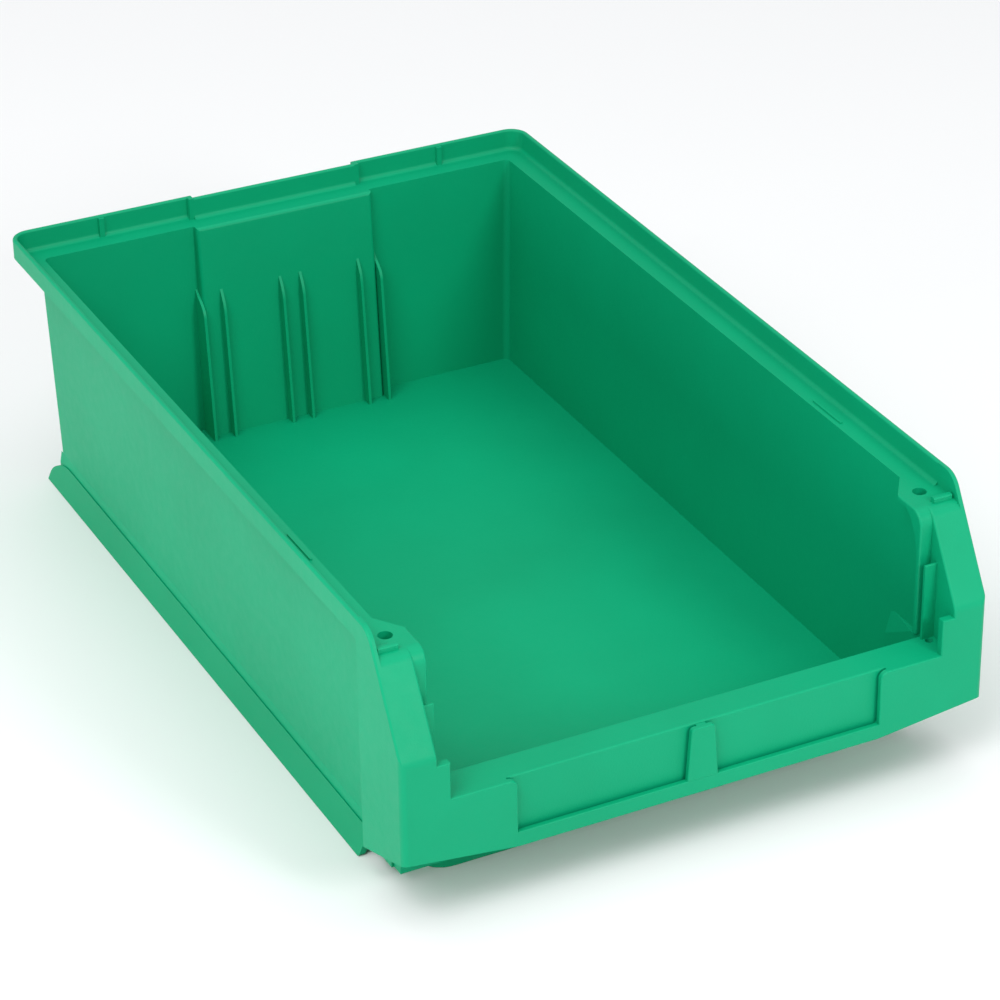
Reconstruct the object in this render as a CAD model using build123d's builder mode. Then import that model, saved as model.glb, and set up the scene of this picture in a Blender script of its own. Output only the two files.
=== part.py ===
"""Stackable storage bin with an open hopper front, one injection moulding.

Millimetres, +Z up, front towards -Y, origin under the middle of the bin.
The real bin is a single moulding.  Each region of it that does a job of its
own is kept here as a separate solid, and neighbours meet face to face.
"""
import os

from build123d import *

# ---------------------------------------------------------------- overall size
WIDTH = 314.3
LENGTH = 501.7
HEIGHT = 149.2
HALF_W = WIDTH / 2
REAR = LENGTH / 2
FRONT = -LENGTH / 2
WALL = 2.7
EDGE_R = 1.1

# ------------------------------------------------------------------- the shell
FLOOR_TOP = 9.9
FLOOR_T = 2.8
FLOOR_BOTTOM = FLOOR_TOP - FLOOR_T
LEDGE_TOP = 136.8
LEDGE_BOTTOM = LEDGE_TOP - WALL
IN_X_TOP = 142.3
IN_X_FLOOR = 138.9
IN_Y_TOP = 236.0
IN_Y_FLOOR = 232.7
CORNER_R = 3.5
REAR_SPLIT = 222.0
WALL_FRONT_Y = -225.0

# ------------------------------------------------ boxed-out panel on rear wall
PANEL_HALF = 53.5
PANEL_Y_FLOOR = 223.0
PANEL_Y_TOP = 231.8
PANEL_EDGE_R = 2.0

# --------------------------------------------------------------------- the rim
RIM_T = 2.65
RIM_R = 11.0
BAND_BOTTOM = 138.0
COVE_R = 2.5
HANGER_SET_IN = 3.0
HANGER_HALF = 49.3
RIM_RIB_X = 103.5
FIN_X = 145.6
FIN_Y = -117.0
FIN_SIZE = (1.2, 27.0, 0.9)

# -------------------------------------------------------------- the front post
POST_REAR = -206.0
POST_IN_X = 138.6
HOOD_IN_X = 131.8
CHEEK_LOW_Z = 93.5
CHEEK_TOP_Y = -225.5
CHEEK_SLOPE = (CHEEK_TOP_Y - FRONT) / (LEDGE_TOP - CHEEK_LOW_Z)
CHEEK_R = 8.0
NOSE_R = 12.0
LEDGE_CORNER_Y = -191.0
CORNER_EDGE_R = 3.4
TOE_REAR_Z = 23.6
TOE_CORNER_Z = 39.3
PIN_X = 143.3
PIN_Y = -207.5
PIN_R = 3.6
PIN_DEPTH = 6.0
PIN_FLOOR = 2.0
CAP_BOTTOM = LEDGE_TOP - PIN_DEPTH - PIN_FLOOR
CAP_REAR = POST_REAR + 4.5

# --------------------------------------------------------------- lip and label
LIP_TOP = 69.5
LIP_REAR = -229.6
LIP_EDGE_R = 1.0
PLATE_T = 2.6
RECESS_Y = FRONT + 4.0
FRAME_Y = FRONT + PLATE_T
TOE_Z = 32.3
TOE_FLAT_HALF = 97.6
LABEL_SILL_Z = 40.2
LABEL_END = 98.0
PLATE_CORNER_R = 4.0
SLOT_REACH = 4.5
TAB_HALF_LOW = 8.3
TAB_HALF_HIGH = 6.3
TAB_TOP = 68.7
STEP_TOP = 89.1
STEP_IN_X = 132.1
SCOOP_FOOT_Y = -213.0
WEB_FRONT = -227.5
CHANNEL = 4.3
CHANNEL_RIB_T = 1.6
CHANNEL_RIB_TOP = 111.2
DRAIN_X = 134.6
DRAIN_Y = -235.6
DRAIN_R = 2.0

# ---------------------------------------------------------- rails and the foot
RAIL_X = 149.2
RAIL_TOP = 13.5
RAIL_FOOT_T = 3.0
RAIL_REAR = 238.0
RAIL_FRONT = -181.6
SKIRT_X = 143.0
SKIRT_TOP = 18.5
SKIRT_KNEE = 12.0
FOOT_HALF = 126.0
FOOT_FRONT = -209.2
FOOT_REAR = -165.0
FOOT_R = 14.0


def wall_x(z):
    """Inside face of a side wall at height z."""
    return IN_X_FLOOR + (IN_X_TOP - IN_X_FLOOR) * (z - FLOOR_TOP) / (LEDGE_TOP - FLOOR_TOP)


def wall_y(z):
    """Inside face of the rear wall at height z."""
    return IN_Y_FLOOR + (IN_Y_TOP - IN_Y_FLOOR) * (z - FLOOR_TOP) / (LEDGE_TOP - FLOOR_TOP)


def panel_y(z):
    """Face of the boxed-out panel at height z."""
    return PANEL_Y_FLOOR + (PANEL_Y_TOP - PANEL_Y_FLOOR) * (z - FLOOR_TOP) / (LEDGE_TOP - FLOOR_TOP)


def cheek_y(z):
    """Front of the sloped cheek at height z."""
    return CHEEK_TOP_Y + CHEEK_SLOPE * (z - LEDGE_TOP)


def toe_z(x):
    """Lower edge of the front face at a distance x from the middle."""
    return TOE_Z + (TOE_CORNER_Z - TOE_Z) * (x - TOE_FLAT_HALF) / (HALF_W - TOE_FLAT_HALF)


def level(z, grow, radius):
    """The wall outline at height z, set out by grow, as a sketch."""
    with BuildSketch(Plane.XY.offset(z)) as outline:
        RectangleRounded(2 * (wall_x(z) + grow), 2 * (wall_y(z) + grow), radius)
    return outline.sketch


def drafted(z_low, z_high, grow, radius):
    """A drafted block with the plan of the bin between two heights."""
    with BuildPart() as block:
        loft([level(z_low, grow, radius).face(), level(z_high, grow, radius).face()], ruled=True)
    return block.part


def side_profile(points, x_from, x_to):
    """A closed outline in the YZ plane, swept along X between two stations."""
    with BuildPart() as bar:
        with BuildSketch(Plane.YZ.offset(x_from)):
            with BuildLine():
                Polyline(*points, close=True)
            make_face()
        extrude(amount=x_to - x_from)
    return bar.part


def cut_box(x_range, y_range, z_range):
    """A plain box between two corners, for cutting one region from the next."""
    with BuildPart() as box:
        with Locations((x_range[0], y_range[0], z_range[0])):
            Box(x_range[1] - x_range[0], y_range[1] - y_range[0], z_range[1] - z_range[0],
                align=(Align.MIN, Align.MIN, Align.MIN))
    return box.part


def mirrored(solid):
    """The same region of the moulding on the left-hand side."""
    with BuildPart() as other:
        add(mirror(solid.part, about=Plane.YZ))
    return other


# -------------------------------------------------------------------- the post
PLATE_IN_X = HALF_W - RIM_T
LEDGE_OUT_X = PLATE_IN_X - COVE_R
BODY_OUTLINE = [(POST_REAR, LEDGE_TOP), (CHEEK_TOP_Y, LEDGE_TOP), (FRONT, CHEEK_LOW_Z),
                (FRONT, 0), (POST_REAR, 0)]
SIDE_OUTLINE = [(POST_REAR, HEIGHT), (cheek_y(HEIGHT), HEIGHT), (FRONT, CHEEK_LOW_Z),
                (FRONT, 0), (POST_REAR, 0)]

with BuildPart() as block_body:
    add(side_profile(BODY_OUTLINE, POST_IN_X, PLATE_IN_X))
    across = block_body.edges().filter_by(Axis.X)
    fillet(across.filter_by_position(Axis.Y, FRONT + 1, CHEEK_TOP_Y + 1), CHEEK_R)
    across = block_body.edges().filter_by(Axis.X)
    fillet(across.filter_by_position(Axis.Y, FRONT - 1, FRONT + 1).group_by(Axis.Z)[-1], CHEEK_R)
    inner_edges = block_body.faces().sort_by(Axis.X)[0].edges()
    fillet(inner_edges.filter_by_position(Axis.Y, FRONT, POST_REAR - 1).filter_by_position(
        Axis.Z, CHEEK_LOW_Z - 1, HEIGHT), EDGE_R)

with BuildPart() as side_body:
    add(side_profile(SIDE_OUTLINE, PLATE_IN_X, HALF_W))
    across = side_body.edges().filter_by(Axis.X)
    fillet(across.filter_by_position(Axis.Y, FRONT + 1, cheek_y(HEIGHT) + 1), NOSE_R)
    across = side_body.edges().filter_by(Axis.X)
    fillet(across.filter_by_position(Axis.Y, FRONT - 1, FRONT + 1).group_by(Axis.Z)[-1], CHEEK_R)

TOE_TILT = (TOE_CORNER_Z - toe_z(POST_IN_X)) / (HALF_W - POST_IN_X)
with BuildPart() as post_body:
    add(block_body.part)
    add(side_body.part)
    outer_edges = post_body.faces().sort_by(Axis.X)[-1].edges()
    fillet(outer_edges.filter_by_position(Axis.Y, FRONT, POST_REAR - 1), EDGE_R)
    with BuildSketch(Plane.XY) as corner_outline:
        with Locations((HALF_W, FRONT)):
            Rectangle(CORNER_EDGE_R, CORNER_EDGE_R, align=(Align.MAX, Align.MIN))
        with Locations((HALF_W - CORNER_EDGE_R, FRONT + CORNER_EDGE_R)):
            Circle(CORNER_EDGE_R, mode=Mode.SUBTRACT)
    extrude(amount=HEIGHT, mode=Mode.SUBTRACT)
    toe = Plane(origin=(HALF_W, FRONT, TOE_CORNER_Z),
                z_dir=(TOE_TILT * (FRONT - POST_REAR), TOE_CORNER_Z - TOE_REAR_Z, POST_REAR - FRONT))
    split(bisect_by=toe, keep=Keep.TOP)

# ----------------------------------------------------------------- shell solids
outer_shell = drafted(FLOOR_TOP, LEDGE_BOTTOM, WALL, CORNER_R + WALL)
inner_shell = drafted(FLOOR_TOP, LEDGE_BOTTOM, 0, CORNER_R)
cap_zone = cut_box((0, HALF_W), (FRONT, CAP_REAR), (CAP_BOTTOM, HEIGHT))

SCOOP_OUT = [(SCOOP_FOOT_Y, FLOOR_TOP), (LIP_REAR - WALL, LIP_TOP - WALL)]
SCOOP_IN = [(LIP_REAR, LIP_TOP - WALL), (SCOOP_FOOT_Y + WALL, FLOOR_TOP)]

with BuildPart() as floor_panel:
    with BuildSketch(Plane.XY.offset(FLOOR_BOTTOM)):
        with Locations((0, (IN_Y_FLOOR + WALL + SCOOP_FOOT_Y) / 2)):
            Rectangle(2 * (IN_X_FLOOR + WALL), IN_Y_FLOOR + WALL - SCOOP_FOOT_Y)
    extrude(amount=FLOOR_T)
    fillet(floor_panel.edges().filter_by(Axis.Z).group_by(Axis.Y)[-1], CORNER_R + WALL)

with BuildPart() as right_rear_wall:
    add(outer_shell)
    add(inner_shell, mode=Mode.SUBTRACT)
    add(cut_box((PANEL_HALF - WALL, HALF_W), (REAR_SPLIT, REAR), (FLOOR_TOP, LEDGE_BOTTOM)),
        mode=Mode.INTERSECT)
left_rear_wall = mirrored(right_rear_wall)

WALL_OUTLINE = [(REAR_SPLIT, FLOOR_TOP), (REAR_SPLIT, LEDGE_BOTTOM), (WALL_FRONT_Y, LEDGE_BOTTOM),
                (WALL_FRONT_Y, LIP_TOP - WALL), SCOOP_OUT[1], SCOOP_OUT[0]]
with BuildPart() as right_wall:
    add(outer_shell)
    add(inner_shell, mode=Mode.SUBTRACT)
    add(side_profile(WALL_OUTLINE, 0, HALF_W), mode=Mode.INTERSECT)
    add(cap_zone, mode=Mode.SUBTRACT)
left_wall = mirrored(right_wall)

# --------------------------------------------------- post regions from the body
POCKET_IN_X = POST_IN_X + WALL
POCKET_TOP_Y = cheek_y(CAP_BOTTOM) + 1.2 * WALL
POCKET_LOW_Y = FRONT + WALL
POCKET_OUTLINE = [(POST_REAR - WALL, 0), (POST_REAR - WALL, CAP_BOTTOM), (POCKET_TOP_Y, CAP_BOTTOM),
                  (POCKET_LOW_Y, CHEEK_LOW_Z - WALL / 2), (POCKET_LOW_Y, 0)]

with BuildPart() as inside_ahead:
    add(inner_shell)
    add(cut_box((0, HALF_W), (WALL_FRONT_Y, POST_REAR), (0, CAP_BOTTOM)), mode=Mode.INTERSECT)

with BuildPart() as post_shell:
    add(post_body.part)
    add(side_profile(POCKET_OUTLINE, POCKET_IN_X, PLATE_IN_X), mode=Mode.SUBTRACT)
    add(cut_box((0, POCKET_IN_X), (WALL_FRONT_Y, POST_REAR), (0, CAP_BOTTOM)), mode=Mode.SUBTRACT)
    add(inside_ahead.part, mode=Mode.SUBTRACT)
    add(right_wall.part, mode=Mode.SUBTRACT)

with BuildPart() as pin_bore:
    with Locations((PIN_X, PIN_Y, LEDGE_TOP)):
        Cylinder(PIN_R, PIN_DEPTH, align=(Align.CENTER, Align.CENTER, Align.MAX))

with BuildPart() as right_post_cap:
    add(post_body.part)
    add(cut_box((0, PLATE_IN_X), (FRONT, POST_REAR), (CAP_BOTTOM, HEIGHT)), mode=Mode.INTERSECT)
    add(cut_box((POST_IN_X, LEDGE_OUT_X), (POST_REAR, CAP_REAR), (CAP_BOTTOM, LEDGE_TOP)))
    add(pin_bore.part, mode=Mode.SUBTRACT)

with BuildPart() as right_post_side:
    add(post_shell.part)
    add(cut_box((PLATE_IN_X, HALF_W), (FRONT, POST_REAR), (0, HEIGHT)), mode=Mode.INTERSECT)

with BuildPart() as right_post_rear:
    add(post_shell.part)
    add(cut_box((POCKET_IN_X, PLATE_IN_X), (POST_REAR - WALL, POST_REAR), (0, CAP_BOTTOM)),
        mode=Mode.INTERSECT)

with BuildPart() as right_post_front:
    add(post_shell.part)
    add(cut_box((POCKET_IN_X, PLATE_IN_X), (FRONT, POST_REAR - 2 * WALL), (0, CAP_BOTTOM)),
        mode=Mode.INTERSECT)

with BuildPart() as right_post_inner:
    add(post_shell.part)
    add(cut_box((0, POCKET_IN_X), (FRONT, WALL_FRONT_Y), (0, CAP_BOTTOM)), mode=Mode.INTERSECT)

POST_REGIONS = dict(post_cap=right_post_cap, post_side=right_post_side, post_rear=right_post_rear,
                    post_front=right_post_front, post_inner=right_post_inner)

# ------------------------------------------------------------- rim and ledge
with BuildPart() as rim_block:
    with BuildSketch(Plane.XY.offset(BAND_BOTTOM)):
        RectangleRounded(WIDTH, LENGTH, RIM_R)
    extrude(amount=HEIGHT - BAND_BOTTOM)
    with BuildSketch(Plane.XY.offset(BAND_BOTTOM)):
        RectangleRounded(WIDTH, LENGTH, RIM_R)
    extrude(amount=LEDGE_BOTTOM - BAND_BOTTOM, taper=45)
    fillet(rim_block.edges().group_by(Axis.Z)[-1], EDGE_R)

with BuildPart() as rim_ring:
    add(rim_block.part)
    with BuildSketch(Plane.XY.offset(LEDGE_TOP)):
        RectangleRounded(WIDTH - 2 * RIM_T, LENGTH - 2 * RIM_T, RIM_R - RIM_T)
    extrude(amount=HEIGHT - LEDGE_TOP, mode=Mode.SUBTRACT)
    fillet(rim_ring.faces().filter_by_position(Axis.Z, LEDGE_TOP - 0.1, LEDGE_TOP + 0.1).edges(), COVE_R)
    top_face = rim_ring.faces().sort_by(Axis.Z)[-1]
    fillet(top_face.inner_wires()[0].edges(), EDGE_R)
    add(drafted(LEDGE_BOTTOM, LEDGE_TOP, 0, CORNER_R), mode=Mode.SUBTRACT)


LEDGE_IN_X = IN_X_TOP - CORNER_R - 1.0
REAR_LEDGE_Y = IN_Y_TOP - 0.1
LEDGE_OUT_Y = REAR - RIM_T - COVE_R
CORNER_Y = REAR - RIM_R

with BuildPart() as right_ledge:
    add(rim_ring.part)
    add(cut_box((LEDGE_IN_X, LEDGE_OUT_X), (CAP_REAR, REAR_LEDGE_Y), (LEDGE_BOTTOM, HEIGHT)),
        mode=Mode.INTERSECT)
left_ledge = mirrored(right_ledge)

with BuildPart() as rear_ledge:
    add(rim_ring.part)
    add(cut_box((-LEDGE_OUT_X, LEDGE_OUT_X), (REAR_LEDGE_Y, LEDGE_OUT_Y), (LEDGE_BOTTOM, HEIGHT)),
        mode=Mode.INTERSECT)

with BuildPart() as right_rim:
    add(rim_ring.part)
    add(cut_box((LEDGE_OUT_X, HALF_W), (POST_REAR, CORNER_Y), (LEDGE_BOTTOM, HEIGHT)), mode=Mode.INTERSECT)
left_rim = mirrored(right_rim)

SET_IN_Y = REAR - HANGER_SET_IN - RIM_T
with BuildPart() as rim_return:
    add(rim_block.part)
    add(cut_box((HANGER_HALF, HANGER_HALF + RIM_T), (SET_IN_Y, REAR), (LEDGE_TOP, HEIGHT)),
        mode=Mode.INTERSECT)

with BuildPart() as right_rear_rim:
    add(rim_ring.part)
    add(cut_box((HANGER_HALF, HALF_W), (IN_Y_TOP, REAR), (LEDGE_BOTTOM, HEIGHT)), mode=Mode.INTERSECT)
    add(cut_box((0, HALF_W), (0, CORNER_Y), (LEDGE_BOTTOM, HEIGHT)), mode=Mode.SUBTRACT)
    add(cut_box((0, LEDGE_OUT_X), (0, LEDGE_OUT_Y), (LEDGE_BOTTOM, HEIGHT)), mode=Mode.SUBTRACT)
    add(rim_return.part)
left_rear_rim = mirrored(right_rear_rim)

CENTRE_OUT_Y = REAR - HANGER_SET_IN
COVE_MID = COVE_R * (1 - 2 ** -0.5)
with BuildPart() as rear_rim_centre:
    with BuildSketch(Plane.YZ.offset(-HANGER_HALF)):
        with BuildLine():
            Polyline((SET_IN_Y - COVE_R, LEDGE_TOP), (SET_IN_Y - COVE_R, LEDGE_BOTTOM),
                     (CENTRE_OUT_Y - WALL, LEDGE_BOTTOM), (CENTRE_OUT_Y, LEDGE_TOP), (CENTRE_OUT_Y, HEIGHT),
                     (SET_IN_Y, HEIGHT), (SET_IN_Y, LEDGE_TOP + COVE_R))
            ThreePointArc((SET_IN_Y, LEDGE_TOP + COVE_R), (SET_IN_Y - COVE_MID, LEDGE_TOP + COVE_MID),
                          (SET_IN_Y - COVE_R, LEDGE_TOP))
        make_face()
    extrude(amount=2 * HANGER_HALF)
    fillet(rear_rim_centre.edges().filter_by(Axis.X).group_by(Axis.Z)[-1], EDGE_R)
    add(rear_ledge.part, mode=Mode.SUBTRACT)

RIM_RIB_W = 3.0
RIM_RIB_T = 1.6
with BuildPart() as right_rim_rib:
    with Locations((RIM_RIB_X, REAR - RIM_T, LEDGE_TOP)):
        Box(RIM_RIB_W, RIM_RIB_T, HEIGHT - LEDGE_TOP - EDGE_R, align=(Align.CENTER, Align.MAX, Align.MIN))
    add(rim_ring.part, mode=Mode.SUBTRACT)
left_rim_rib = mirrored(right_rim_rib)

with BuildPart() as right_ledge_fin:
    with Locations((FIN_X, FIN_Y, LEDGE_TOP)):
        Box(*FIN_SIZE, align=(Align.CENTER, Align.CENTER, Align.MIN))
left_ledge_fin = mirrored(right_ledge_fin)

with BuildPart() as right_ledge_corner:
    with BuildSketch(Plane.XY.offset(LEDGE_BOTTOM)):
        with BuildLine():
            Polyline((IN_X_TOP + EDGE_R, LEDGE_CORNER_Y), (IN_X_TOP, LEDGE_CORNER_Y),
                     (HOOD_IN_X, POST_REAR), (IN_X_TOP + EDGE_R, POST_REAR), close=True)
        make_face()
    extrude(amount=WALL)
    add(right_ledge.part, mode=Mode.SUBTRACT)
    add(right_post_cap.part, mode=Mode.SUBTRACT)
    add(pin_bore.part, mode=Mode.SUBTRACT)
left_ledge_corner = mirrored(right_ledge_corner)

LUG_X = 148.1
LUG_Y = -219.6
LUG_SIZE = (10.2, 3.4, 2.8)
LUG_EDGE_R = 0.8
with BuildPart() as right_lug:
    with Locations((LUG_X, LUG_Y, LEDGE_TOP)):
        Box(*LUG_SIZE, align=(Align.CENTER, Align.CENTER, Align.MIN))
    fillet(right_lug.edges().filter_by(Axis.X).group_by(Axis.Z)[-1], LUG_EDGE_R)
left_lug = mirrored(right_lug)

# ------------------------------- window channel: a web behind, a rib in front
HOOD_R = 8.0
HOOD_MID = HOOD_R * (1 - 2 ** -0.5)
HOOD_REAR_Y = POST_REAR - 7.0
HOOD_SPRING_Z = 100.0
HOOD_SHOULDER = (-220.3, 127.5)
with BuildPart() as right_channel_web:
    with BuildSketch(Plane.YZ.offset(HOOD_IN_X)):
        with BuildLine():
            Polyline((WEB_FRONT, LEDGE_TOP - HOOD_R), (WEB_FRONT, LIP_TOP), (WALL_FRONT_Y, LIP_TOP),
                     (WALL_FRONT_Y, HOOD_SPRING_Z))
            Spline((WALL_FRONT_Y, HOOD_SPRING_Z), HOOD_SHOULDER, (HOOD_REAR_Y, LEDGE_BOTTOM),
                   tangents=((0, 1), (1, 0.35)))
            Polyline((HOOD_REAR_Y, LEDGE_BOTTOM), (POST_REAR, LEDGE_BOTTOM), (POST_REAR, LEDGE_TOP),
                     (WEB_FRONT + HOOD_R, LEDGE_TOP))
            ThreePointArc((WEB_FRONT + HOOD_R, LEDGE_TOP), (WEB_FRONT + HOOD_MID, LEDGE_TOP - HOOD_MID),
                          (WEB_FRONT, LEDGE_TOP - HOOD_R))
        make_face()
    extrude(amount=IN_X_TOP - HOOD_IN_X)
    hood_edges = right_channel_web.faces().sort_by(Axis.X)[0].edges().filter_by_position(
        Axis.Y, WEB_FRONT + 0.1, WEB_FRONT + HOOD_R)
    fillet(hood_edges.sort_by(Axis.Z)[-1], EDGE_R)
    add(pin_bore.part, mode=Mode.SUBTRACT)
    add(right_wall.part, mode=Mode.SUBTRACT)
    for region in POST_REGIONS.values():
        add(region.part, mode=Mode.SUBTRACT)

left_channel_web = mirrored(right_channel_web)

RIB_BACK_Y = WEB_FRONT - CHANNEL
RIB_EDGE_R = 0.7
with BuildPart() as right_channel_rib:
    with Locations((HOOD_IN_X, RIB_BACK_Y, LIP_TOP)):
        Box(POST_IN_X - HOOD_IN_X, CHANNEL_RIB_T, CHANNEL_RIB_TOP - LIP_TOP,
            align=(Align.MIN, Align.MAX, Align.MIN))
    fillet(right_channel_rib.edges().group_by(Axis.Z)[-1].filter_by(Axis.X), RIB_EDGE_R)
left_channel_rib = mirrored(right_channel_rib)

# ------------------------------------------------ boxed-out panel on rear wall
FACE_OUTLINE = [(PANEL_Y_FLOOR, FLOOR_TOP), (PANEL_Y_TOP, LEDGE_TOP), (REAR, LEDGE_TOP), (REAR, FLOOR_TOP)]
HOLLOW_OUTLINE = [(PANEL_Y_FLOOR + WALL, FLOOR_TOP), (PANEL_Y_TOP + WALL, LEDGE_BOTTOM),
                  (REAR, LEDGE_BOTTOM), (REAR, FLOOR_TOP)]
with BuildPart() as rear_panel:
    add(side_profile(FACE_OUTLINE, -PANEL_HALF, PANEL_HALF))
    face_edges = rear_panel.faces().sort_by(Axis.Y)[0].edges()
    fillet(face_edges.filter_by_position(Axis.Z, FLOOR_TOP + 1, HEIGHT), PANEL_EDGE_R)
    add(drafted(FLOOR_TOP, LEDGE_TOP, 0, CORNER_R), mode=Mode.INTERSECT)
    add(side_profile(HOLLOW_OUTLINE, WALL - PANEL_HALF, PANEL_HALF - WALL), mode=Mode.SUBTRACT)

RIB_PITCH = 48.3
RIB_GAP = 12.4
RIB_T = 1.6
RIB_TIP = 98.5
RIB_KNEE = 84.0
RIB_REACH = 6.0
RIB_KNEE_REACH = 4.6


def divider_rib(x, on_panel):
    """One pointed guide rib on the rear wall, standing on the floor."""
    root = panel_y if on_panel else wall_y
    with BuildPart() as rib:
        with BuildSketch(Plane.YZ.offset(x - RIB_T / 2)):
            with BuildLine():
                Polyline((root(RIB_TIP), RIB_TIP), (root(FLOOR_TOP), FLOOR_TOP),
                         (PANEL_Y_FLOOR - RIB_REACH, FLOOR_TOP),
                         (panel_y(RIB_KNEE) - RIB_KNEE_REACH, RIB_KNEE))
                Spline((panel_y(RIB_KNEE) - RIB_KNEE_REACH, RIB_KNEE), (root(RIB_TIP), RIB_TIP),
                       tangents=((0.05, 1), (1, 1.6)))
            make_face()
        extrude(amount=RIB_T)
    return rib


divider_ribs = []
for pair in (-1, 0, 1):
    for side in (-1, 1):
        rib_x = pair * RIB_PITCH + side * RIB_GAP / 2
        divider_ribs.append(divider_rib(rib_x, abs(rib_x) < PANEL_HALF - RIB_T / 2))

# ------------------------------------------------------------- front structure
SCOOP_HALF = 141.0
with BuildPart() as front_scoop:
    add(side_profile(SCOOP_OUT + SCOOP_IN, -SCOOP_HALF, SCOOP_HALF))
    for solid in [right_wall] + list(POST_REGIONS.values()):
        add(solid.part, mode=Mode.SUBTRACT)
        add(mirror(solid.part, about=Plane.YZ), mode=Mode.SUBTRACT)

LIP_OUTLINE = [(POST_IN_X, RECESS_Y), (POST_IN_X, WALL_FRONT_Y), (HOOD_IN_X, WALL_FRONT_Y),
               (HOOD_IN_X - LIP_REAR + WALL_FRONT_Y, LIP_REAR)]
with BuildPart() as lip_top:
    with BuildSketch(Plane.XY.offset(LIP_TOP - WALL)):
        with BuildLine():
            Polyline(*LIP_OUTLINE, *[(-x, y) for x, y in reversed(LIP_OUTLINE)], close=True)
        make_face()
    extrude(amount=WALL)
    top_edges = lip_top.edges().group_by(Axis.Z)[-1].filter_by(Axis.X)
    fillet(top_edges.filter_by_position(Axis.Y, RECESS_Y - 1, RECESS_Y + 1), LIP_EDGE_R)
    fillet(lip_top.edges().group_by(Axis.Z)[-1].filter_by(Axis.X).filter_by_position(
        Axis.Y, LIP_REAR - 1, LIP_REAR + 1), LIP_EDGE_R)
    with Locations((DRAIN_X, DRAIN_Y, LIP_TOP), (-DRAIN_X, DRAIN_Y, LIP_TOP)):
        Cylinder(DRAIN_R, 3 * WALL, mode=Mode.SUBTRACT)
    for region in POST_REGIONS.values():
        add(region.part, mode=Mode.SUBTRACT)
        add(mirror(region.part, about=Plane.YZ), mode=Mode.SUBTRACT)

with BuildPart() as label_backing:
    with BuildSketch(Plane.XZ.offset(-RECESS_Y)):
        with BuildLine():
            Polyline((-POST_IN_X, toe_z(POST_IN_X)), (-TOE_FLAT_HALF, TOE_Z), (TOE_FLAT_HALF, TOE_Z),
                     (POST_IN_X, toe_z(POST_IN_X)), (POST_IN_X, LIP_TOP - WALL),
                     (-POST_IN_X, LIP_TOP - WALL), close=True)
        make_face()
    extrude(amount=-WALL)
    for region in POST_REGIONS.values():
        add(region.part, mode=Mode.SUBTRACT)
        add(mirror(region.part, about=Plane.YZ), mode=Mode.SUBTRACT)

PLATE_OUT_X = POST_IN_X + EDGE_R
PLATE_EDGE_R = 0.8
with BuildPart() as right_plate:
    with BuildSketch(Plane.XZ.offset(-RECESS_Y - LIP_EDGE_R)) as plate_outline:
        with BuildLine():
            Polyline((LABEL_END, LABEL_SILL_Z), (LABEL_END, LIP_TOP), (STEP_IN_X, LIP_TOP),
                     (STEP_IN_X, STEP_TOP), (PLATE_OUT_X, STEP_TOP), (PLATE_OUT_X, toe_z(PLATE_OUT_X)),
                     (TOE_FLAT_HALF, TOE_Z), (TOE_FLAT_HALF, LABEL_SILL_Z), close=True)
        make_face()
        inner_corner = plate_outline.vertices().filter_by_position(Axis.X, LABEL_END - 0.1, LABEL_END + 0.1)
        fillet(inner_corner.sort_by(Axis.Y)[-1], PLATE_CORNER_R)
    extrude(amount=RECESS_Y + LIP_EDGE_R - FRONT)
    front_edges = right_plate.faces().sort_by(Axis.Y)[0].edges()
    front_edges = front_edges.filter_by_position(Axis.X, LABEL_END - 1, POST_IN_X + 0.3)
    fillet(front_edges.filter_by_position(Axis.Z, LABEL_SILL_Z + 1, STEP_TOP + 1), PLATE_EDGE_R)
    add(cut_box((LABEL_END - 1, LABEL_END + SLOT_REACH), (FRAME_Y, RECESS_Y), (LABEL_SILL_Z, LIP_TOP)),
        mode=Mode.SUBTRACT)
    add(cut_box((0, HALF_W), (RECESS_Y, 0), (0, LIP_TOP - LIP_EDGE_R)), mode=Mode.SUBTRACT)
    add(cut_box((0, HALF_W), (RECESS_Y, 0), (LIP_TOP, HEIGHT)), mode=Mode.SUBTRACT)
    add(lip_top.part, mode=Mode.SUBTRACT)
    for region in POST_REGIONS.values():
        add(region.part, mode=Mode.SUBTRACT)
left_plate = mirrored(right_plate)

SILL_SLOT = 3.0
FRAME_EDGE_R = 0.6
with BuildPart() as label_sill:
    with BuildSketch(Plane.XZ.offset(-RECESS_Y)):
        with Locations((0, (TOE_Z + LABEL_SILL_Z) / 2)):
            Rectangle(2 * TOE_FLAT_HALF, LABEL_SILL_Z - TOE_Z)
    extrude(amount=RECESS_Y - FRONT)
    fillet(label_sill.edges().filter_by(Axis.X).group_by(Axis.Z)[-1].sort_by(Axis.Y)[0], FRAME_EDGE_R)
    add(cut_box((-TOE_FLAT_HALF, TOE_FLAT_HALF), (FRAME_Y, RECESS_Y),
                (LABEL_SILL_Z - SILL_SLOT, LABEL_SILL_Z)), mode=Mode.SUBTRACT)

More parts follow.
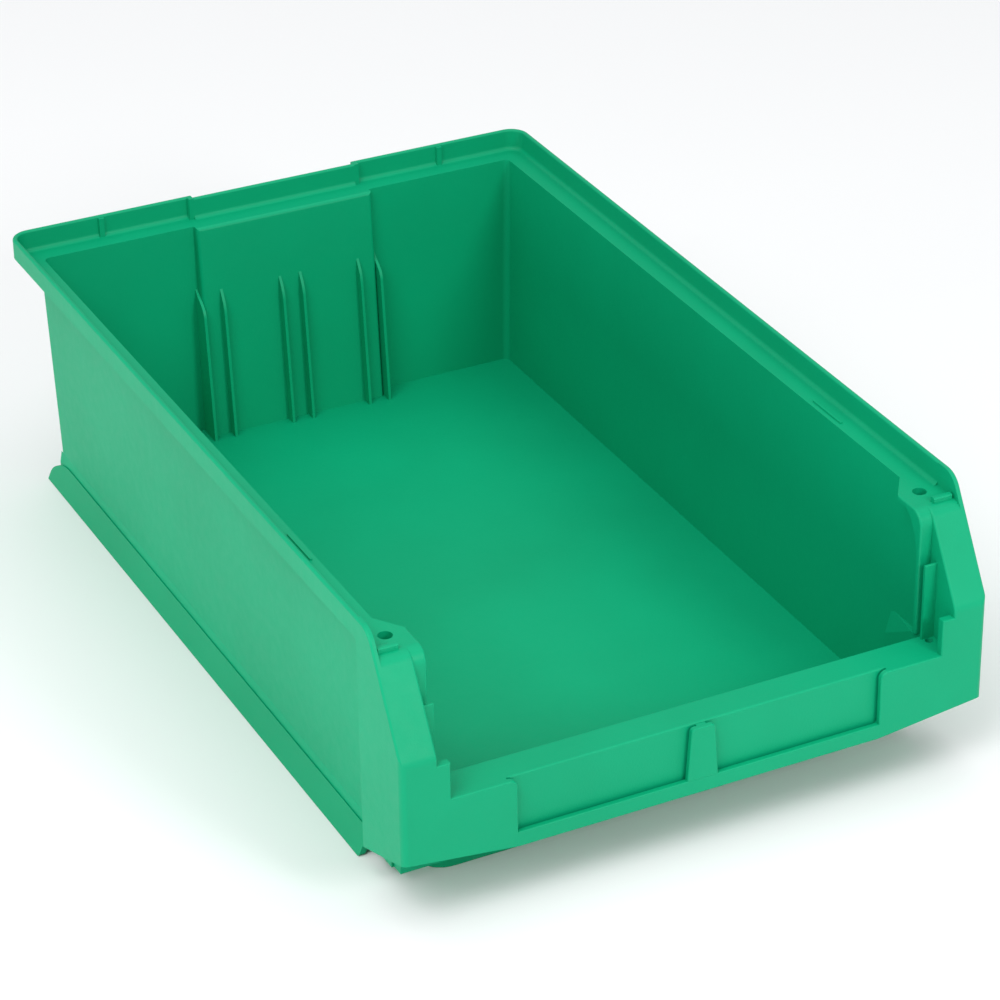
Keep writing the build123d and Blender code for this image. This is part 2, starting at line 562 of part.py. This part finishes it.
TAB_WEB = 5.0
TAB_CORNER_R = 2.0
with BuildPart() as label_tab:
    with BuildSketch(Plane.XZ.offset(-FRAME_Y)) as tab_outline:
        with BuildLine():
            Polyline((-TAB_HALF_LOW, LABEL_SILL_Z), (TAB_HALF_LOW, LABEL_SILL_Z), (TAB_HALF_HIGH, TAB_TOP),
                     (-TAB_HALF_HIGH, TAB_TOP), close=True)
        make_face()
        fillet(tab_outline.vertices().group_by(Axis.Y)[-1], TAB_CORNER_R)
    extrude(amount=PLATE_T)
    tab_edges = label_tab.faces().sort_by(Axis.Y)[0].edges()
    fillet(tab_edges.filter_by_position(Axis.Z, LABEL_SILL_Z + 1, TAB_TOP), FRAME_EDGE_R)
    with BuildSketch(Plane.XZ.offset(-RECESS_Y)):
        with Locations((0, (LABEL_SILL_Z + TAB_TOP) / 2)):
            Rectangle(TAB_WEB, TAB_TOP - LABEL_SILL_Z)
    extrude(amount=RECESS_Y - FRAME_Y)
    add(label_sill.part, mode=Mode.SUBTRACT)
    add(lip_top.part, mode=Mode.SUBTRACT)

# -------------------------------------------- skirts, rails, foot and bosses
with BuildPart() as right_skirt:
    with BuildSketch(Plane.XZ.offset(-IN_Y_FLOOR)):
        with BuildLine():
            Polyline((wall_x(SKIRT_TOP) + WALL, SKIRT_TOP), (IN_X_FLOOR + WALL, FLOOR_TOP),
                     (IN_X_FLOOR + WALL, FLOOR_BOTTOM), (SKIRT_X, FLOOR_BOTTOM), (SKIRT_X, SKIRT_KNEE),
                     close=True)
        make_face()
    extrude(amount=IN_Y_FLOOR - POST_REAR)
left_skirt = mirrored(right_skirt)

RAIL_ROOT_Z = 6.1
RAIL_LIP = 0.4
RAIL_BEND_Y = RAIL_REAR - 22.0
RAIL_SHOULDER = (RAIL_REAR - 4.0, 9.0)
RAIL_HEEL_Z = 3.0
RAIL_END_R = 1.5
with BuildPart() as right_rail:
    with BuildSketch(Plane.XZ.offset(-RAIL_REAR)):
        with BuildLine():
            Polyline((SKIRT_X, RAIL_TOP), (SKIRT_X, RAIL_ROOT_Z), (RAIL_X - RAIL_FOOT_T, 0),
                     (RAIL_X, 0), (SKIRT_X + RAIL_LIP, RAIL_TOP), close=True)
        make_face()
    extrude(amount=RAIL_REAR - RAIL_FRONT)
    with BuildSketch(Plane.YZ):
        with BuildLine():
            Polyline((RAIL_FRONT, 0), (RAIL_FRONT, RAIL_TOP), (RAIL_BEND_Y, RAIL_TOP))
            Spline((RAIL_BEND_Y, RAIL_TOP), RAIL_SHOULDER, (RAIL_REAR, RAIL_HEEL_Z),
                   tangents=((1, 0), (0, -1)))
            Polyline((RAIL_REAR, RAIL_HEEL_Z), (RAIL_REAR, 0), (RAIL_FRONT, 0))
        make_face()
    extrude(amount=HALF_W, mode=Mode.INTERSECT)
    fillet(right_rail.edges().group_by(Axis.Y)[0].sort_by(Axis.X)[-1], RAIL_END_R)
left_rail = mirrored(right_rail)

with BuildPart() as front_foot:
    with BuildSketch(Plane.XY):
        with Locations((0, (FOOT_FRONT + FOOT_REAR) / 2)):
            RectangleRounded(2 * FOOT_HALF, FOOT_REAR - FOOT_FRONT, FOOT_R)
        offset(amount=-WALL, mode=Mode.SUBTRACT)
    extrude(amount=FLOOR_BOTTOM)

BOSS_IN_X = 137.3
BOSS_REAR = -192.0
BOSS_TOP = 63.0
FACET_TOP = (BOSS_IN_X, -197.0, 52.5)
FACET_EDGE = Vector(0, -22.6, 13.2)
FACET_RISE = Vector(3.2, 5.0, 9.5)
with BuildPart() as right_corner_boss:
    add(side_profile([(BOSS_REAR, FLOOR_TOP), (BOSS_REAR, BOSS_TOP), (LIP_REAR + WALL, BOSS_TOP),
                      (SCOOP_FOOT_Y + WALL, FLOOR_TOP)], BOSS_IN_X, IN_X_TOP))
    facet = Plane(origin=FACET_TOP, z_dir=FACET_EDGE.cross(FACET_RISE))
    split(bisect_by=facet, keep=Keep.BOTTOM)
    add(right_wall.part, mode=Mode.SUBTRACT)
    add(front_scoop.part, mode=Mode.SUBTRACT)
    add(right_post_inner.part, mode=Mode.SUBTRACT)
    add(cut_box((wall_x(FLOOR_TOP) + WALL, HALF_W), (FRONT, REAR), (0, HEIGHT)), mode=Mode.SUBTRACT)
left_corner_boss = mirrored(right_corner_boss)

# ------------------------------------------------------------------- export
nodes = dict(
    floor_panel=floor_panel, rear_panel=rear_panel, rear_ledge=rear_ledge, rear_rim_centre=rear_rim_centre,
    front_scoop=front_scoop, lip_top=lip_top, label_backing=label_backing, label_sill=label_sill,
    label_tab=label_tab, front_foot=front_foot, left_wall=left_wall, right_wall=right_wall,
    left_rear_wall=left_rear_wall, right_rear_wall=right_rear_wall, left_ledge=left_ledge,
    right_ledge=right_ledge, left_rim=left_rim, right_rim=right_rim, left_rear_rim=left_rear_rim,
    right_rear_rim=right_rear_rim, left_rim_rib=left_rim_rib, right_rim_rib=right_rim_rib,
    left_ledge_fin=left_ledge_fin, right_ledge_fin=right_ledge_fin, left_ledge_corner=left_ledge_corner,
    right_ledge_corner=right_ledge_corner, left_lug=left_lug, right_lug=right_lug,
    left_channel_web=left_channel_web, right_channel_web=right_channel_web,
    left_channel_rib=left_channel_rib, right_channel_rib=right_channel_rib, left_plate=left_plate,
    right_plate=right_plate, left_skirt=left_skirt, right_skirt=right_skirt, left_rail=left_rail,
    right_rail=right_rail, left_corner_boss=left_corner_boss, right_corner_boss=right_corner_boss,
)
for name, region in POST_REGIONS.items():
    nodes[f"right_{name}"] = region
    nodes[f"left_{name}"] = mirrored(region)
for number, rib in enumerate(divider_ribs, start=1):
    nodes[f"divider_rib_{number}"] = rib

os.makedirs("parts", exist_ok=True)
for name, node in nodes.items():
    node.part.label = name
    export_step(node.part, f"parts/{name}.step")
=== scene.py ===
"""Looks of the stackable storage bin: moulded green plastic in soft studio light."""
from math import radians

import bpy
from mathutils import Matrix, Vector


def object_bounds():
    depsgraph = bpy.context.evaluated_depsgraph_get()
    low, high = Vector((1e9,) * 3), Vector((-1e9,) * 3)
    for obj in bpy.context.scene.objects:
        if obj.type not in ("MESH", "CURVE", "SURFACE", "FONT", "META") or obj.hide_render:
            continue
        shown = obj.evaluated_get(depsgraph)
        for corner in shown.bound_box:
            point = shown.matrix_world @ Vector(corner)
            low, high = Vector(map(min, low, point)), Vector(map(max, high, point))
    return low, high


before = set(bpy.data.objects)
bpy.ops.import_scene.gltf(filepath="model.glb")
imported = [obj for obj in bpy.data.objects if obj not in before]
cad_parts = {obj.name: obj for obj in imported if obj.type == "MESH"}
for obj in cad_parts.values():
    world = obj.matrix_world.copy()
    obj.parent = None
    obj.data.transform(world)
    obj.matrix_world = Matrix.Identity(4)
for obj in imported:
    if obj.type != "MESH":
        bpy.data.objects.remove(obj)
cad_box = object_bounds()

# ------------------------------------------------------------------- colours
# Linear RGB.
GREEN = (0.001, 0.355, 0.168, 1.0)
GREEN_DEEP = (0.001, 0.325, 0.152, 1.0)
# The rail and foot greens are darker copies of the bin green: painted shade on the rails and the front
# foot, which are the same plastic as the bin.
RAIL_PAINTED_SHADE_GREEN = (0.001, 0.310, 0.140, 1.0)
RAIL_PAINTED_SHADE_GREEN_DEEP = (0.001, 0.285, 0.128, 1.0)
FLOOR_WHITE = (0.86, 0.87, 0.88, 1.0)
SKY_WHITE = (1.0, 1.0, 1.0, 1.0)

# ------------------------------------------------------- texture of the plastic
# Noise scales in features per metre, heights in metres.
FLOW_SCALE = 9.0
PEEL_SCALE = 160.0
PEEL_HEIGHT = 0.0002
PEEL_STRENGTH = 0.25
GRAIN_SCALE = 900.0
GRAIN_STRENGTH = 0.6
PLASTIC_IOR = 1.49
SPECULAR_LEVEL = 0.17


def new_material(name):
    """A node material with its tree and its shader."""
    material = bpy.data.materials.new(name)
    material.use_nodes = True
    tree = material.node_tree
    shader = tree.nodes["Principled BSDF"]
    return material, tree, shader


def noise(tree, scale, detail, roughness=0.5):
    """Noise in object space, in features per metre."""
    coords = tree.nodes.new("ShaderNodeTexCoord")
    node = tree.nodes.new("ShaderNodeTexNoise")
    node.inputs["Scale"].default_value = scale
    node.inputs["Detail"].default_value = detail
    node.inputs["Roughness"].default_value = roughness
    tree.links.new(coords.outputs["Object"], node.inputs["Vector"])
    return node


def ramp(tree, source, low, high, pos_low=0.35, pos_high=0.65):
    """Two colours mixed by a factor."""
    node = tree.nodes.new("ShaderNodeValToRGB")
    node.color_ramp.elements[0].position = pos_low
    node.color_ramp.elements[0].color = low
    node.color_ramp.elements[1].position = pos_high
    node.color_ramp.elements[1].color = high
    tree.links.new(source, node.inputs["Fac"])
    return node


def spread(tree, source, low, high):
    """A factor mapped to the range low to high."""
    node = tree.nodes.new("ShaderNodeMapRange")
    node.inputs["To Min"].default_value = low
    node.inputs["To Max"].default_value = high
    tree.links.new(source, node.inputs["Value"])
    return node


def bump(tree, source, strength, height, below=None):
    """A bump layer of the given height in metres."""
    node = tree.nodes.new("ShaderNodeBump")
    node.inputs["Strength"].default_value = strength
    node.inputs["Distance"].default_value = height
    tree.links.new(source, node.inputs["Height"])
    if below is not None:
        tree.links.new(below.outputs["Normal"], node.inputs["Normal"])
    return node


def moulded_plastic(name, low, high, rough_low, rough_high, grain_height):
    """Pigmented polymer with a fine moulded grain and slow flow marks."""
    material, tree, shader = new_material(name)
    flow = noise(tree, FLOW_SCALE, detail=3.0)
    grain = noise(tree, GRAIN_SCALE, detail=3.0, roughness=0.6)
    orange_peel = noise(tree, PEEL_SCALE, detail=2.0)
    colour = ramp(tree, flow.outputs["Fac"], low, high)
    tree.links.new(colour.outputs["Color"], shader.inputs["Base Color"])
    rough = spread(tree, orange_peel.outputs["Fac"], rough_low, rough_high)
    tree.links.new(rough.outputs["Result"], shader.inputs["Roughness"])
    peel = bump(tree, orange_peel.outputs["Fac"], PEEL_STRENGTH, PEEL_HEIGHT)
    fine = bump(tree, grain.outputs["Fac"], GRAIN_STRENGTH, grain_height, below=peel)
    tree.links.new(fine.outputs["Normal"], shader.inputs["Normal"])
    shader.inputs["IOR"].default_value = PLASTIC_IOR
    shader.inputs["Specular IOR Level"].default_value = SPECULAR_LEVEL
    return material


bin_plastic = moulded_plastic("bin_plastic_look", GREEN_DEEP, GREEN,
                              rough_low=0.40, rough_high=0.52, grain_height=0.0001)
# A darker, glossier copy of the bin plastic for the rails and the front foot: the darker colour is
# painted shade, and the lower roughness is a real difference.
painted_shade_rail_plastic = moulded_plastic("rail_painted_shade_look", RAIL_PAINTED_SHADE_GREEN_DEEP, RAIL_PAINTED_SHADE_GREEN,
                               rough_low=0.30, rough_high=0.38, grain_height=0.00003)

# The rails and the front foot take the painted-shade copy of the plastic, and every other node takes the
# bin plastic.
PAINTED_SHADE_NODES = ("left_rail", "right_rail", "front_foot")
for name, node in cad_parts.items():
    material = painted_shade_rail_plastic if name in PAINTED_SHADE_NODES else bin_plastic
    for slot in node.material_slots:
        slot.material = material

# --------------------------------------------------------------------- stage
FLOOR_SIZE = 12.0
FLOOR_GAP = 0.0002
FLOOR_ROUGHNESS = 0.9
bpy.ops.mesh.primitive_plane_add(size=FLOOR_SIZE, location=(0, 0, cad_box[0][2] - FLOOR_GAP))
floor = bpy.context.active_object
floor.name = "studio_floor"
floor_look, _, floor_shader = new_material("studio_floor_look")
floor_shader.inputs["Base Color"].default_value = FLOOR_WHITE
floor_shader.inputs["Roughness"].default_value = FLOOR_ROUGHNESS
floor.data.materials.append(floor_look)

WORLD_STRENGTH = 0.52
world = bpy.data.worlds.new("studio")
bpy.context.scene.world = world
world.use_nodes = True
sky = world.node_tree.nodes["Background"]
sky.inputs["Color"].default_value = SKY_WHITE
sky.inputs["Strength"].default_value = WORLD_STRENGTH


def soft_light(name, location, target, size, power):
    """A square area light that looks at a target point."""
    data = bpy.data.lights.new(name, "AREA")
    data.shape = "SQUARE"
    data.size = size
    data.energy = power
    lamp = bpy.data.objects.new(name, data)
    lamp.location = location
    aim = Vector(target) - Vector(location)
    lamp.rotation_euler = aim.to_track_quat("-Z", "Y").to_euler()
    bpy.context.scene.collection.objects.link(lamp)


# A wide overhead sun lights the studio floor evenly, and a level surface doesn't mirror it to the camera.
TOP_STRENGTH = 1.0
TOP_SPREAD = 70.0
top_data = bpy.data.lights.new("overhead", "SUN")
top_data.energy = TOP_STRENGTH
top_data.angle = radians(TOP_SPREAD)
overhead = bpy.data.objects.new("overhead", top_data)
overhead.location = (0.0, 0.0, 3.0)
bpy.context.scene.collection.objects.link(overhead)

soft_light("key", location=(-1.6, -1.2, 2.4), target=(0, 0, 0.05), size=1.4, power=36.0)
soft_light("side_light", location=(-2.2, 0.0, 0.32), target=(0, 0, 0.08), size=0.6, power=12.0)
soft_light("cheek_light", location=(0.45, -1.70, 1.00), target=(0, -0.24, 0.11), size=0.4, power=12.0)

# -------------------------------------------------------------------- camera
# Place in metres, angles in degrees, shift in widths of the sensor.
CAMERA_PLACE = (-0.72864, -1.51648, 1.01717)
LOOK_DOWN = 29.553
LOOK_ROUND = -27.735
LENS_MM = 132.858
SENSOR_MM = 36.0
LENS_SHIFT = (-0.0852, 0.0033)
camera_data = bpy.data.cameras.new("camera")
camera_data.sensor_width = SENSOR_MM
camera_data.lens = LENS_MM
camera_data.shift_x = LENS_SHIFT[0]
camera_data.shift_y = LENS_SHIFT[1]
camera_data.clip_end = 50.0
camera = bpy.data.objects.new("camera", camera_data)
camera.location = CAMERA_PLACE
camera.rotation_euler = (radians(90.0 - LOOK_DOWN), 0.0, radians(LOOK_ROUND))
bpy.context.scene.collection.objects.link(camera)
bpy.context.scene.camera = camera
bpy.context.scene.view_settings.view_transform = "Standard"
